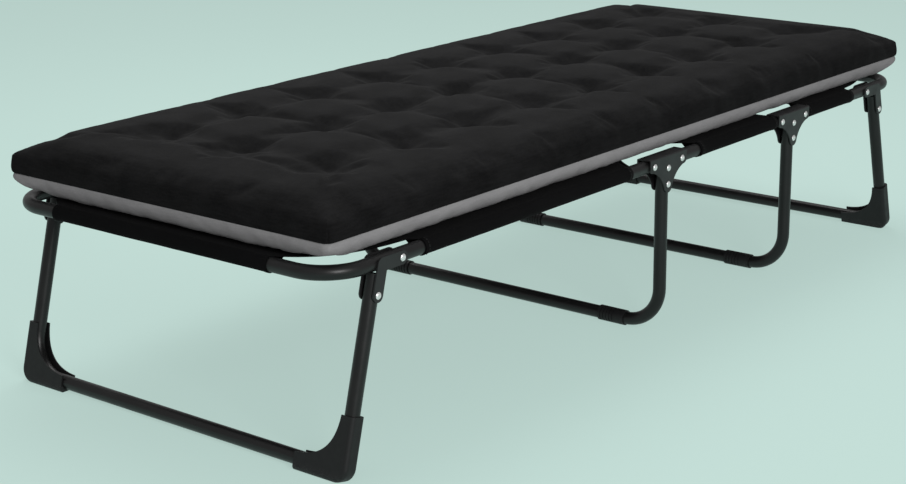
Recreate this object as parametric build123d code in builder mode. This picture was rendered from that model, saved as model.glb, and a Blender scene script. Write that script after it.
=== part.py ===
from build123d import *
import math
import os

os.makedirs("parts", exist_ok=True)

# Folding camp bed, millimetres. +X runs to the rear end, +Z is up, the floor is zero.
# The origin is on the floor under the middle of the whole bed.

# Deck layout
deck_offset = -3.0
rail_spacing = 763.0
rail_height = 341.0
front_section = 925.0
middle_section = 475.0
rear_section = 475.0

# Steel tube
tube_radius = 12.5
tube_wall = 1.5
bend_radius = 75.0

# Hinge saddles on the two middle legs
pivot_reach = 47.0
saddle_gap = 0.3
saddle_sheet = 2.5
saddle_half_length = 62.0
saddle_arm_drop = 11.0
saddle_arm_flat = 10.0
saddle_corner = 9.0
saddle_flare_x = 28.0
saddle_flare_drop = 24.0
saddle_neck = 13.0
saddle_neck_drop = 46.0
saddle_tip_drop = 58.0
saddle_tip_radius = 14.0
saddle_bend = 2.0
leg_rivet_upper = 10.0
leg_rivet_lower = 42.0
leg_top_rise = 8.0

# Ribbed sleeves on the floor bars of the middle legs
foot_sleeve_radius = 15.0
foot_sleeve_start = 246.0
foot_sleeve_length = 60.0
foot_sleeve_ribs = 5
foot_sleeve_rib_pitch = 7.0
foot_sleeve_groove = 2.6
foot_sleeve_groove_depth = 1.2
sleeve_fit = 0.05

# End legs, splayed outwards from their pivots
leg_pivot_inset = 153.0
leg_axis_offset = 48.0
leg_splay = 15.0
leg_stop_gap = 0.3
foot_sole = 3.0

# Boomerang plates on the end legs
bracket_gap = 0.3
bracket_sheet = 3.0
bracket_half_width = 11.5
bracket_leg_arm = 50.0
bracket_inner_corner = 14.0

# Moulded corner feet
foot_outer_reach = 15.5
foot_half_depth = 15.2
foot_height = 107.0
foot_arm_reach = 96.0
foot_corner = 26.0
foot_underside = 18.5
foot_edge_round = 8.0
foot_collar_reach = 10.0
foot_collar_pull = 46.0
foot_collar_lean = 4.0
foot_toe_rise = 12.5
foot_toe_pull = 60.0
foot_toe_lean = 2.5

# Rivets
rivet_radius = 3.0
rivet_head_radius = 6.5
rivet_head_height = 3.0
rivet_fit = 0.02
pivot_clearance = 0.05

# Fabric panels and their sleeves
cloth_clearance = 0.3
cloth_thickness = 1.2
sheet_lap = 3.3
sheet_drop = 0.4
side_sleeve_inset = 60.0
centre_sleeve_reach = 117.0
quarter_sleeve_reach = 64.0
end_sleeve_half = 256.0
corner_cut_mid_x = 50.0
corner_cut_mid_y = 63.5
corner_cut_rail_x = 8.0
corner_cut_rail_y = 16.5
hinge_edge_gap = 8.0
hinge_notch_depth = 48.0
hinge_notch_slant = 30.0
hinge_notch_corner = 20.0

# Mattress
mattress_end_inset = 1.0
mattress_side_inset = 12.5
mattress_offset = 5.5
mattress_clearance = 0.3
mattress_base_depth = 38.7
mattress_crown_depth = 66.0
mattress_corner = 34.0
crown_inset = 250.0
crown_shares = (
    (0.0, 0.012),
    (0.106, 0.0024),
    (0.227, 0.0),
    (0.364, 0.006),
    (0.5, 0.024),
    (0.621, 0.056),
    (0.727, 0.112),
    (0.818, 0.208),
    (0.894, 0.38),
    (0.955, 0.64),
    (1.0, 1.0),
)
base_inset = 36.0
base_shares = ((0.0, 1.0), (0.15, 0.5), (0.38, 0.2), (0.69, 0.04), (1.0, 0.083))
corner_growth_share = 0.05
tuft_rows = 3
tuft_columns = 9
tuft_row_pitch = 187.0
tuft_column_pitch = 189.0
tuft_offset = 17.5
tuft_radius = 74.0
tuft_depth = 18.0
filling_inset = 46.0
filling_corner = 20.0
filling_rise = 14.0
filling_top_drop = 28.0

# One overrun serves every cut that has to run past a face
overrun = 5.0

# Places worked out from the sizes above
rail_y = rail_spacing / 2
axis_length = front_section + middle_section + rear_section
front_end_x = deck_offset - axis_length / 2
centre_x = front_end_x + front_section
quarter_x = centre_x + middle_section
rear_end_x = quarter_x + rear_section
front_leg_pivot_x = front_end_x + leg_pivot_inset
rear_leg_pivot_x = rear_end_x - leg_pivot_inset
saddle_inner = tube_radius + saddle_gap
saddle_outer = saddle_inner + saddle_sheet
bracket_inner = tube_radius + bracket_gap
bracket_outer = bracket_inner + bracket_sheet
floor_bar_height = foot_sleeve_radius
splay_bar_height = tube_radius + foot_sole
splay_sine = math.sin(math.radians(leg_splay))
splay_cosine = math.cos(math.radians(leg_splay))
splay_tangent = math.tan(math.radians(leg_splay))
sleeve_inner = tube_radius + cloth_clearance
sleeve_outer = sleeve_inner + cloth_thickness
sheet_top = rail_height + sleeve_outer - sheet_drop
mattress_length = axis_length + 2 * (tube_radius - mattress_end_inset)
mattress_width = rail_spacing + 2 * (tube_radius - mattress_side_inset)
mattress_bottom = rail_height + sleeve_outer + mattress_clearance
mattress_seam_height = mattress_bottom + mattress_base_depth
mattress_top_height = mattress_seam_height + mattress_crown_depth


def save(piece, name):
    """Label a finished piece and write its file."""
    piece.label = name
    export_step(piece, f"parts/{name}.step")


def upright_plane(x, y, z):
    """Plane across the bed's width, drawn with +X to the right and +Z up."""
    return Plane(origin=(x, y, z), x_dir=(1, 0, 0), z_dir=(0, -1, 0))


def cross_pin(x, z, radius):
    """Round bar along Y right through both sides of the bed, used as a bore."""
    with BuildPart() as pin:
        with BuildSketch(upright_plane(x, 0, z)):
            Circle(radius)
        extrude(amount=rail_spacing, both=True)
    return pin.part


def end_trim(pivot_x, side):
    """What is cut from a rail's end so that it is round about its pivot."""
    reach = tube_radius + overrun
    align = (Align.MIN if side > 0 else Align.MAX, Align.CENTER)
    with BuildPart() as trim:
        with BuildSketch(upright_plane(pivot_x, 0, rail_height)):
            Rectangle(reach, 2 * reach, align=align)
            Circle(tube_radius, mode=Mode.SUBTRACT)
        extrude(amount=rail_spacing, both=True)
    return trim.part


def deck_tube(end_x, pivot_x, leg_pivot_x):
    """Bent tube of an end section: two rails, two corners and the end bar."""
    side = math.copysign(1, pivot_x - end_x)
    start_x = pivot_x + side * tube_radius
    with BuildPart() as tube:
        with BuildLine(Plane.XY.offset(rail_height)) as route:
            FilletPolyline(
                (start_x, -rail_y),
                (end_x, -rail_y),
                (end_x, rail_y),
                (start_x, rail_y),
                radius=bend_radius,
            )
        with BuildSketch(Plane(origin=route.line @ 0, z_dir=route.line % 0)):
            Circle(tube_radius)
            Circle(tube_radius - tube_wall, mode=Mode.SUBTRACT)
        sweep(path=route.line)
        add(end_trim(pivot_x, side), mode=Mode.SUBTRACT)
        for x in (pivot_x, leg_pivot_x):
            add(cross_pin(x, rail_height, rivet_radius + pivot_clearance), mode=Mode.SUBTRACT)
    return tube.part


def middle_rail(y):
    """Straight rail between the two hinges, its ends round about their pivots."""
    front_x = centre_x + pivot_reach
    rear_x = quarter_x - pivot_reach
    with BuildPart() as rail:
        with BuildSketch(Plane.YZ.offset(front_x - tube_radius)):
            with Locations((y, rail_height)):
                Circle(tube_radius)
                Circle(tube_radius - tube_wall, mode=Mode.SUBTRACT)
        extrude(amount=rear_x - front_x + 2 * tube_radius)
        add(end_trim(front_x, -1), mode=Mode.SUBTRACT)
        add(end_trim(rear_x, 1), mode=Mode.SUBTRACT)
        for x in (front_x, rear_x):
            add(cross_pin(x, rail_height, rivet_radius + pivot_clearance), mode=Mode.SUBTRACT)
    return rail.part


def upright_leg(hinge_x):
    """U of tube that stands upright under a hinge."""
    top = rail_height + leg_top_rise
    with BuildPart() as leg:
        with BuildLine(Plane.YZ.offset(hinge_x)) as route:
            FilletPolyline(
                (-rail_y, top),
                (-rail_y, floor_bar_height),
                (rail_y, floor_bar_height),
                (rail_y, top),
                radius=bend_radius,
            )
        with BuildSketch(Plane(origin=route.line @ 0, z_dir=route.line % 0)):
            Circle(tube_radius)
            Circle(tube_radius - tube_wall, mode=Mode.SUBTRACT)
        sweep(path=route.line)
        for drop in (leg_rivet_upper, leg_rivet_lower):
            bore = cross_pin(hinge_x, rail_height - drop, rivet_radius + rivet_fit)
            add(bore, mode=Mode.SUBTRACT)
    return leg.part


def saddle(hinge_x, y):
    """Folded steel saddle: two T-shaped cheeks and the web over the tube ends."""
    arm = (saddle_half_length, -saddle_arm_drop)
    root = (saddle_half_length - saddle_arm_flat, -saddle_arm_drop)
    flare = (saddle_flare_x, -saddle_flare_drop)
    neck = (saddle_neck, -saddle_neck_drop)
    with BuildPart() as piece:
        with BuildSketch(upright_plane(hinge_x, y, rail_height)) as outline:
            with BuildLine():
                Polyline(root, arm, (saddle_half_length, saddle_outer), (0, saddle_outer))
                ThreePointArc(root, flare, neck)
                RadiusArc(neck, (0, -saddle_tip_drop), saddle_tip_radius)
                mirror(about=Plane.YZ)
            make_face()
            fillet(outline.vertices().group_by(Axis.X)[0].sort_by(Axis.Y)[0], saddle_corner)
            fillet(outline.vertices().group_by(Axis.X)[-1].sort_by(Axis.Y)[0], saddle_corner)
        extrude(amount=saddle_outer, both=True)
        fillet(piece.edges().filter_by(Axis.X).group_by(Axis.Z)[-1], saddle_bend)
        with BuildSketch(Plane.YZ.offset(hinge_x)):
            with Locations((y, rail_height + saddle_inner)):
                Rectangle(
                    2 * saddle_inner,
                    saddle_inner + saddle_tip_drop + overrun,
                    align=(Align.CENTER, Align.MAX),
                )
        extrude(amount=saddle_half_length + overrun, both=True, mode=Mode.SUBTRACT)
        for x, z in leg_rivet_places(hinge_x) + rail_rivet_places(hinge_x):
            add(cross_pin(x, z, rivet_radius + rivet_fit), mode=Mode.SUBTRACT)
    return piece.part


def leg_rivet_places(hinge_x):
    """Rivets that hold a middle leg in its saddle."""
    return [(hinge_x, rail_height - leg_rivet_upper), (hinge_x, rail_height - leg_rivet_lower)]


def rail_rivet_places(hinge_x):
    """Rivets that the rails turn on, one each side of a middle leg."""
    return [(hinge_x - pivot_reach, rail_height), (hinge_x + pivot_reach, rail_height)]


def rivets(places, half_grip):
    """Rivets along Y, one at each place in each side of the bed, domed at both ends."""
    dome = rivet_head_height * math.sqrt(0.5)
    rim = rivet_head_radius * math.sqrt(0.5)
    tip = half_grip + rivet_head_height
    with BuildPart() as one:
        with BuildSketch():
            with BuildLine():
                Line((0, 0), (0, tip))
                ThreePointArc((0, tip), (rim, half_grip + dome), (rivet_head_radius, half_grip))
                Line((rivet_head_radius, half_grip), (rivet_radius, half_grip))
                Line((rivet_radius, half_grip), (rivet_radius, 0))
                mirror(about=Plane.XZ)
            make_face()
        revolve(axis=Axis.Y)
    with BuildPart() as group:
        for x, z in places:
            with Locations((x, -rail_y, z), (x, rail_y, z)):
                add(one.part)
    return group.part


def foot_sleeve(hinge_x, side):
    """Ribbed plastic sleeve on the floor bar, grooved on its inner part."""
    inner = tube_radius + sleeve_fit
    with BuildPart() as sleeve:
        with BuildSketch(Plane.YZ.offset(hinge_x)):
            with Locations((foot_sleeve_start, floor_bar_height + inner)):
                Rectangle(
                    foot_sleeve_length,
                    foot_sleeve_radius - inner,
                    align=(Align.MIN, Align.MIN),
                )
            for n in range(foot_sleeve_ribs):
                groove_y = foot_sleeve_start + (n + 1) * foot_sleeve_rib_pitch
                with Locations((groove_y, floor_bar_height + foot_sleeve_radius)):
                    Rectangle(
                        foot_sleeve_groove, 2 * foot_sleeve_groove_depth, mode=Mode.SUBTRACT
                    )
        revolve(axis=Axis((hinge_x, 0, floor_bar_height), (0, 1, 0)))
    return sleeve.part if side > 0 else mirror(sleeve.part, about=Plane.XZ)


def splay_plane(leg_pivot_x, side):
    """Plane of an end leg: origin on its floor bar, drawn with +Y right and the leg up."""
    rise = rail_height - splay_bar_height
    bar_x = leg_pivot_x - side * (leg_axis_offset + rise * splay_tangent)
    return Plane(
        origin=(bar_x, 0, splay_bar_height),
        x_dir=(0, 1, 0),
        z_dir=(splay_cosine, 0, -side * splay_sine),
    )


def bracket_knee(leg_pivot_x, side):
    """Where the leg's axis meets the rail's, and where the plate is riveted to the leg."""
    knee_x = leg_pivot_x - side * leg_axis_offset
    rivet_x = knee_x - side * bracket_leg_arm * splay_sine
    return (knee_x, rail_height), (rivet_x, rail_height - bracket_leg_arm * splay_cosine)


def splayed_leg(leg_pivot_x, side):
    """U of tube that slants out from its pivots, cut off square just under the rails."""
    top_gap = tube_radius * (1 + splay_sine) + leg_stop_gap
    length = (rail_height - splay_bar_height - top_gap) / splay_cosine
    _, (rivet_x, rivet_z) = bracket_knee(leg_pivot_x, side)
    with BuildPart() as leg:
        with BuildLine(splay_plane(leg_pivot_x, side)) as route:
            FilletPolyline(
                (-rail_y, length), (-rail_y, 0), (rail_y, 0), (rail_y, length), radius=bend_radius
            )
        with BuildSketch(Plane(origin=route.line @ 0, z_dir=route.line % 0)):
            Circle(tube_radius)
            Circle(tube_radius - tube_wall, mode=Mode.SUBTRACT)
        sweep(path=route.line)
        add(cross_pin(rivet_x, rivet_z, rivet_radius + rivet_fit), mode=Mode.SUBTRACT)
    return leg.part


def bracket(leg_pivot_x, side, y):
    """Boomerang plate: one arm along the rail, one along the leg, round at both ends."""
    (knee_x, _), (rivet_x, rivet_z) = bracket_knee(leg_pivot_x, side)
    to_pivot = Vector(leg_pivot_x - knee_x, 0)
    to_rivet = Vector(rivet_x - knee_x, rivet_z - rail_height)
    with BuildPart() as plate:
        with BuildSketch(upright_plane(knee_x, y, rail_height)) as outline:
            SlotCenterPoint(to_pivot / 2, to_pivot, 2 * bracket_half_width)
            SlotCenterPoint(to_rivet / 2, to_rivet, 2 * bracket_half_width)
            crotch = outline.vertices().sort_by_distance(to_pivot + to_rivet)[0]
            fillet(crotch, bracket_inner_corner)
        extrude(amount=bracket_sheet / 2, both=True)
        for x, z in ((leg_pivot_x, rail_height), (rivet_x, rivet_z)):
            add(cross_pin(x, z, rivet_radius + rivet_fit), mode=Mode.SUBTRACT)
    return plate.part


def corner_foot(leg_pivot_x, side, y_side):
    """Moulded corner foot: two walls and a back round the leg's bend, open inwards."""
    plane = splay_plane(leg_pivot_x, side)
    outer = rail_y + foot_outer_reach
    inner_end = rail_y - foot_arm_reach
    top = foot_height - splay_bar_height
    collar = rail_y - foot_collar_reach
    channel = tube_radius + sleeve_fit
    with BuildPart() as foot:
        with BuildSketch(plane) as outline:
            with BuildLine():
                Bezier(
                    (inner_end, foot_toe_rise),
                    (inner_end + foot_toe_pull, foot_toe_rise + foot_toe_lean),
                    (collar - foot_collar_lean, top - foot_collar_pull),
                    (collar, top),
                )
                Polyline(
                    (collar, top),
                    (outer, top),
                    (outer, -foot_underside),
                    (inner_end, -foot_underside),
                    (inner_end, foot_toe_rise),
                )
            make_face()
            fillet(outline.vertices().group_by(Axis.Y)[0].sort_by(Axis.X)[-1], foot_corner)
        extrude(amount=foot_half_depth, both=True)
        walls = foot.faces().filter_by(plane).edges()
        heels = walls.filter_by(GeomType.CIRCLE)
        soles = walls.filter_by(GeomType.LINE).sort_by(Axis.Z)[:2]
        fillet(walls.group_by(Axis.Y)[-1] + heels + soles, foot_edge_round)
        split(bisect_by=Plane.XY, keep=Keep.TOP)
        with BuildSketch(plane):
            with BuildLine():
                FilletPolyline(
                    (rail_y, top + overrun),
                    (rail_y, 0),
                    (inner_end - overrun, 0),
                    radius=bend_radius,
                )
                Polyline(
                    (inner_end - overrun, 0),
                    (inner_end - overrun, top + overrun),
                    (rail_y, top + overrun),
                )
            make_face()
        extrude(amount=channel, both=True, mode=Mode.SUBTRACT)
        add(bend_core(plane, top + overrun, inner_end - overrun, channel), mode=Mode.SUBTRACT)
    return foot.part if y_side > 0 else mirror(foot.part, about=Plane.XZ)


def bend_core(plane, top, inner_end, radius):
    """Round bar round the bend of an end leg, as wide as the foot's channel."""
    with BuildPart() as core:
        with BuildLine(plane) as route:
            FilletPolyline((rail_y, top), (rail_y, 0), (inner_end, 0), radius=bend_radius)
        with BuildSketch(Plane(origin=route.line @ 0, z_dir=route.line % 0)):
            Circle(radius)
        sweep(path=route.line)
    return core.part


def side_sleeve(start_x, end_x, y):
    """Sewn sleeve of cloth round a side rail."""
    with BuildPart() as sleeve:
        with BuildSketch(Plane.YZ.offset(min(start_x, end_x))):
            with Locations((y, rail_height)):
                Circle(sleeve_outer)
                Circle(sleeve_inner, mode=Mode.SUBTRACT)
        extrude(amount=abs(end_x - start_x))
    return sleeve.part


def end_sleeve(end_x):
    """Sewn sleeve of cloth round the bar at one end of the deck."""
    with BuildPart() as sleeve:
        with BuildSketch(upright_plane(end_x, 0, rail_height)):
            Circle(sleeve_outer)
            Circle(sleeve_inner, mode=Mode.SUBTRACT)
        extrude(amount=end_sleeve_half, both=True)
    return sleeve.part


def sheet_blank(start_x, end_x):
    """Plain panel of cloth between the rails, from one edge to the other."""
    half = rail_y - sheet_lap
    with BuildSketch(mode=Mode.PRIVATE) as blank:
        with Locations(((start_x + end_x) / 2, 0)):
            Rectangle(abs(end_x - start_x), 2 * half)
    return blank.sketch


def hinge_notch(sleeve_x, edge_x):
    """Cut-out beside a hinge, where the rail and its saddle stay bare."""
    side = math.copysign(1, edge_x - sleeve_x)
    far_x = edge_x + side * overrun
    start = (sleeve_x, rail_y)
    rim = (sleeve_x, rail_y - sheet_lap)
    corner = (sleeve_x + side * hinge_notch_slant, rail_y - hinge_notch_depth)
    with BuildSketch(mode=Mode.PRIVATE) as notch:
        with BuildLine():
            Polyline(start, rim, corner, (far_x, corner[1]), (far_x, rail_y), start)
        make_face()
        fillet(notch.vertices().sort_by_distance(corner)[0], hinge_notch_corner)
        mirror(about=Plane.XZ)
    return notch.sketch


def corner_cut(end_x, sleeve_x):
    """Cut-out at a corner of the deck, where the bent tube stays bare."""
    side = math.copysign(1, sleeve_x - end_x)
    start = (end_x, end_sleeve_half)
    middle = (end_x + side * corner_cut_mid_x, rail_y - corner_cut_mid_y)
    finish = (sleeve_x - side * corner_cut_rail_x, rail_y - corner_cut_rail_y)
    with BuildSketch(mode=Mode.PRIVATE) as cut:
        with BuildLine():
            ThreePointArc(start, middle, finish)
            Polyline(finish, (sleeve_x, rail_y - sheet_lap), (sleeve_x, rail_y), (end_x, rail_y), start)
        make_face()
        mirror(about=Plane.XZ)
    return cut.sketch


def end_panel(end_x, leg_pivot_x, sleeve_x, edge_x):
    """Panel of an end section, with a sleeve on each rail and on the end bar."""
    side = math.copysign(1, leg_pivot_x - end_x)
    start_x = leg_pivot_x + side * side_sleeve_inset
    with BuildPart() as panel:
        with BuildSketch(Plane.XY.offset(sheet_top)):
            add(sheet_blank(end_x + side * sheet_lap, edge_x))
            add(corner_cut(end_x, start_x), mode=Mode.SUBTRACT)
            if edge_x != sleeve_x:
                add(hinge_notch(sleeve_x, edge_x), mode=Mode.SUBTRACT)
        extrude(amount=-cloth_thickness)
        add(end_sleeve(end_x))
        for y in (-rail_y, rail_y):
            add(side_sleeve(start_x, sleeve_x, y))
    return panel.part


def middle_panel():
    """Panel between the hinges, with a sleeve on each rail."""
    sleeve_front = centre_x + centre_sleeve_reach
    edge_front = centre_x + pivot_reach + hinge_edge_gap
    rear = quarter_x - quarter_sleeve_reach
    with BuildPart() as panel:
        with BuildSketch(Plane.XY.offset(sheet_top)):
            add(sheet_blank(edge_front, rear))
            add(hinge_notch(sleeve_front, edge_front), mode=Mode.SUBTRACT)
        extrude(amount=-cloth_thickness)
        for y in (-rail_y, rail_y):
            add(side_sleeve(sleeve_front, rear, y))
    return panel.part


def pad_block(low, high, inset, shares):
    """Soft block lofted through rounded outlines; shares give each one's rise and inset."""
    with BuildPart() as block:
        for rise, draw in shares:
            level = low + rise * (high - low)
            with BuildSketch(Plane.XY.offset(level)):
                with Locations((mattress_offset, 0)):
                    RectangleRounded(
                        mattress_length - 2 * draw * inset,
                        mattress_width - 2 * draw * inset,
                        mattress_corner + corner_growth_share * draw * inset,
                    )
        loft(ruled=True)
    return block.part


def mattress_filling():
    """Flat pad inside the mattress cover."""
    low = mattress_bottom + filling_rise
    with BuildPart() as pad:
        with BuildSketch(Plane.XY.offset(low)):
            with Locations((mattress_offset, 0)):
                RectangleRounded(
                    mattress_length - 2 * filling_inset,
                    mattress_width - 2 * filling_inset,
                    filling_corner,
                )
        extrude(amount=mattress_top_height - filling_top_drop - low)
    return pad.part


def mattress_top(filling):
    """Black upper cover, crowned, with a hollow where each tuft is sewn down."""
    hollow_radius = (tuft_radius**2 + tuft_depth**2) / (2 * tuft_depth)
    hollow_height = mattress_top_height - tuft_depth + hollow_radius
    with BuildPart() as cover:
        add(pad_block(mattress_seam_height, mattress_top_height, crown_inset, crown_shares))
        with Locations((mattress_offset + tuft_offset, 0, hollow_height)):
            with GridLocations(tuft_column_pitch, tuft_row_pitch, tuft_columns, tuft_rows):
                Sphere(hollow_radius, mode=Mode.SUBTRACT)
        add(filling, mode=Mode.SUBTRACT)
    return cover.part


def mattress_base(filling):
    """Grey underside, which curves up to the seam."""
    with BuildPart() as base:
        add(pad_block(mattress_bottom, mattress_seam_height, base_inset, base_shares))
        add(filling, mode=Mode.SUBTRACT)
    return base.part


# Front, middle and rear deck frames with their cloth
save(deck_tube(front_end_x, centre_x - pivot_reach, front_leg_pivot_x), "front_frame_tube")
save(deck_tube(rear_end_x, quarter_x + pivot_reach, rear_leg_pivot_x), "rear_frame_tube")
save(middle_rail(-rail_y), "middle_rail_right")
save(middle_rail(rail_y), "middle_rail_left")
front_sleeve_x = centre_x - centre_sleeve_reach
front_edge_x = centre_x - pivot_reach - hinge_edge_gap
rear_sleeve_x = quarter_x + quarter_sleeve_reach
save(end_panel(front_end_x, front_leg_pivot_x, front_sleeve_x, front_edge_x), "front_panel")
save(end_panel(rear_end_x, rear_leg_pivot_x, rear_sleeve_x, rear_sleeve_x), "rear_panel")
save(middle_panel(), "middle_panel")

# The two middle legs, each with its saddles, rivets and foot sleeves
for leg_name, hinge_x in (("centre", centre_x), ("quarter", quarter_x)):
    save(upright_leg(hinge_x), f"{leg_name}_leg_tube")
    save(saddle(hinge_x, -rail_y), f"{leg_name}_saddle_right")
    save(saddle(hinge_x, rail_y), f"{leg_name}_saddle_left")
    save(rivets(rail_rivet_places(hinge_x), saddle_outer), f"{leg_name}_pivot_rivets")
    save(rivets(leg_rivet_places(hinge_x), saddle_outer), f"{leg_name}_leg_rivets")
    save(foot_sleeve(hinge_x, -1), f"{leg_name}_foot_sleeve_right")
    save(foot_sleeve(hinge_x, 1), f"{leg_name}_foot_sleeve_left")

# The two end legs, each with its plates, rivets and corner feet
plate_middle = bracket_inner + bracket_sheet / 2
for leg_name, pivot_x, inward in (
    ("front", front_leg_pivot_x, 1),
    ("rear", rear_leg_pivot_x, -1),
):
    save(splayed_leg(pivot_x, inward), f"{leg_name}_leg_tube")
    for side_name, y_side in (("right", -1), ("left", 1)):
        for face_name, out in (("outer", 1), ("inner", -1)):
            plate = bracket(pivot_x, inward, y_side * (rail_y + out * plate_middle))
            save(plate, f"{leg_name}_bracket_{side_name}_{face_name}")
        save(corner_foot(pivot_x, inward, y_side), f"{leg_name}_corner_foot_{side_name}")
    _, leg_rivet_place = bracket_knee(pivot_x, inward)
    save(rivets([(pivot_x, rail_height)], bracket_outer), f"{leg_name}_pivot_rivets")
    save(rivets([leg_rivet_place], bracket_outer), f"{leg_name}_leg_rivets")

# Mattress
filling_pad = mattress_filling()
save(mattress_top(filling_pad), "mattress_top")
save(mattress_base(filling_pad), "mattress_base")
save(filling_pad, "mattress_filling")
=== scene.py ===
import math

import bmesh
import bpy
import numpy as np
from mathutils import Matrix, Vector, noise


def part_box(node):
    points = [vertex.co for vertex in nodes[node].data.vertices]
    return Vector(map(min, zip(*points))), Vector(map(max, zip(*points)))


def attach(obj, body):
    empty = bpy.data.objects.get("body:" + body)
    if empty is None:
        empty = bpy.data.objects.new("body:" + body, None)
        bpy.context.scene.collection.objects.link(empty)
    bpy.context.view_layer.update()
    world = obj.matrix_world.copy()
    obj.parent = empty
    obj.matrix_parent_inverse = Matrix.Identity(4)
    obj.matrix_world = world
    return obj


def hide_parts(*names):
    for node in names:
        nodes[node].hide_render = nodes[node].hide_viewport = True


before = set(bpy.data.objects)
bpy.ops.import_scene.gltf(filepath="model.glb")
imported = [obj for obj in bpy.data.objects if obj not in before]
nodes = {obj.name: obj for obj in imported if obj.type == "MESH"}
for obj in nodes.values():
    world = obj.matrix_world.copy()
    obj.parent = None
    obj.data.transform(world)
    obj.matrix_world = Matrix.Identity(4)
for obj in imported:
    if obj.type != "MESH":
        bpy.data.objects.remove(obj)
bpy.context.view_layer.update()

# Tubes of the deck and the legs. Round steel tube, bent cold and powder coated black,
# with the fine orange peel of baked powder and a satin shine.
tube_black = (0.0056, 0.0056, 0.0057, 1)


def new_finish(name):
    """An empty finish: its material, nodes, links and shader."""
    finish = bpy.data.materials.new(name)
    finish.use_nodes = True
    tree = finish.node_tree
    return finish, tree.nodes, tree.links, tree.nodes["Principled BSDF"]


def grain(parts, links, scale, detail=2.0, stretch=(1, 1, 1)):
    """Noise in the object's own metres, finer as scale rises."""
    place = parts.new("ShaderNodeTexCoord")
    turn = parts.new("ShaderNodeMapping")
    turn.inputs["Scale"].default_value = stretch
    links.new(place.outputs["Object"], turn.inputs["Vector"])
    speckle = parts.new("ShaderNodeTexNoise")
    speckle.inputs["Scale"].default_value = scale
    speckle.inputs["Detail"].default_value = detail
    links.new(turn.outputs["Vector"], speckle.inputs["Vector"])
    return speckle.outputs["Fac"]


def spread(parts, links, fac, low, high, from_low=0.3, from_high=0.7):
    """Noise stretched to the range that a socket needs."""
    ranged = parts.new("ShaderNodeMapRange")
    ranged.inputs["From Min"].default_value = from_low
    ranged.inputs["From Max"].default_value = from_high
    ranged.inputs["To Min"].default_value = low
    ranged.inputs["To Max"].default_value = high
    links.new(fac, ranged.inputs["Value"])
    return ranged.outputs["Result"]


def two_tone(parts, links, fac, dark, light):
    """A colour that wanders between two shades."""
    mix = parts.new("ShaderNodeMix")
    mix.data_type = "RGBA"
    mix.inputs["A"].default_value = dark
    mix.inputs["B"].default_value = light
    links.new(fac, mix.inputs["Factor"])
    return mix.outputs["Result"]


def bump(parts, links, height, distance, strength, under=None):
    """Relief of a given depth in metres, over another one if there is one."""
    relief = parts.new("ShaderNodeBump")
    relief.inputs["Distance"].default_value = distance
    relief.inputs["Strength"].default_value = strength
    links.new(height, relief.inputs["Height"])
    if under is not None:
        links.new(under, relief.inputs["Normal"])
    return relief.outputs["Normal"]


def powder_coat(name, shade, roughness):
    """Baked black powder: faint mottling, orange peel and a few duller rubbed places."""
    finish, parts, links, shader = new_finish(name)
    lighter = tuple(1.5 * c for c in shade[:3]) + (1,)
    mottling = spread(parts, links, grain(parts, links, scale=14, detail=4), 0, 1)
    links.new(two_tone(parts, links, mottling, shade, lighter), shader.inputs["Base Color"])
    rubbed = grain(parts, links, scale=32, detail=5)
    dullness = spread(parts, links, rubbed, roughness - 0.05, roughness + 0.09)
    links.new(dullness, shader.inputs["Roughness"])
    orange_peel = grain(parts, links, scale=900, detail=1)
    peel = bump(parts, links, orange_peel, distance=0.00006, strength=0.6)
    sagging = grain(parts, links, scale=60, detail=2)
    waves = bump(parts, links, sagging, distance=0.0002, strength=0.25, under=peel)
    links.new(waves, shader.inputs["Normal"])
    shader.inputs["Specular IOR Level"].default_value = 0.34
    return finish


def dress(finish, *names):
    """Give CAD nodes their finish."""
    for name in names:
        piece = nodes[name]
        piece.data.materials.clear()
        piece.data.materials.append(finish)


tube_coat = powder_coat("tube_powder_coat", tube_black, roughness=0.36)
dress(tube_coat, "front_frame_tube", "rear_frame_tube", "middle_rail_right", "middle_rail_left")
dress(tube_coat, "centre_leg_tube", "quarter_leg_tube", "front_leg_tube", "rear_leg_tube")

# Saddles over the middle legs and boomerang plates of the end legs. Sheet steel, cut,
# pressed and powder coated like the tubes, but flatter and a little duller.
plate_black = (0.0095, 0.0095, 0.01, 1)
plate_coat = powder_coat("plate_powder_coat", plate_black, roughness=0.42)
sides = ("right", "left")
dress(plate_coat, *[f"{leg}_saddle_{side}" for leg in ("centre", "quarter") for side in sides])
dress(plate_coat, *[f"{leg}_bracket_{side}_{face}" for leg in ("front", "rear")
                    for side in sides for face in ("outer", "inner")])

# Rivets. Bright zinc-plated steel, each with two domed heads that were pressed over
# the plate, a shallow mark of the tool in the middle and its shank between them.
rail_y = 0.3815
rivet_radius = 0.0065
shank_radius = 0.0030
# Radius and height of the head's outline, from the tool mark out to the rim and under it
rivet_head = ((0.0, 0.0023), (0.0009, 0.0024), (0.0017, 0.0029), (0.0034, 0.0026),
              (0.0050, 0.0017), (0.0061, 0.0007), (rivet_radius, 0.0), (shank_radius, -0.0001))
head_sides = 24
# From the middle of the rail to the outside of the plates that the rivet holds
saddle_grip, bracket_grip = 0.0153, 0.0158


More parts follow.
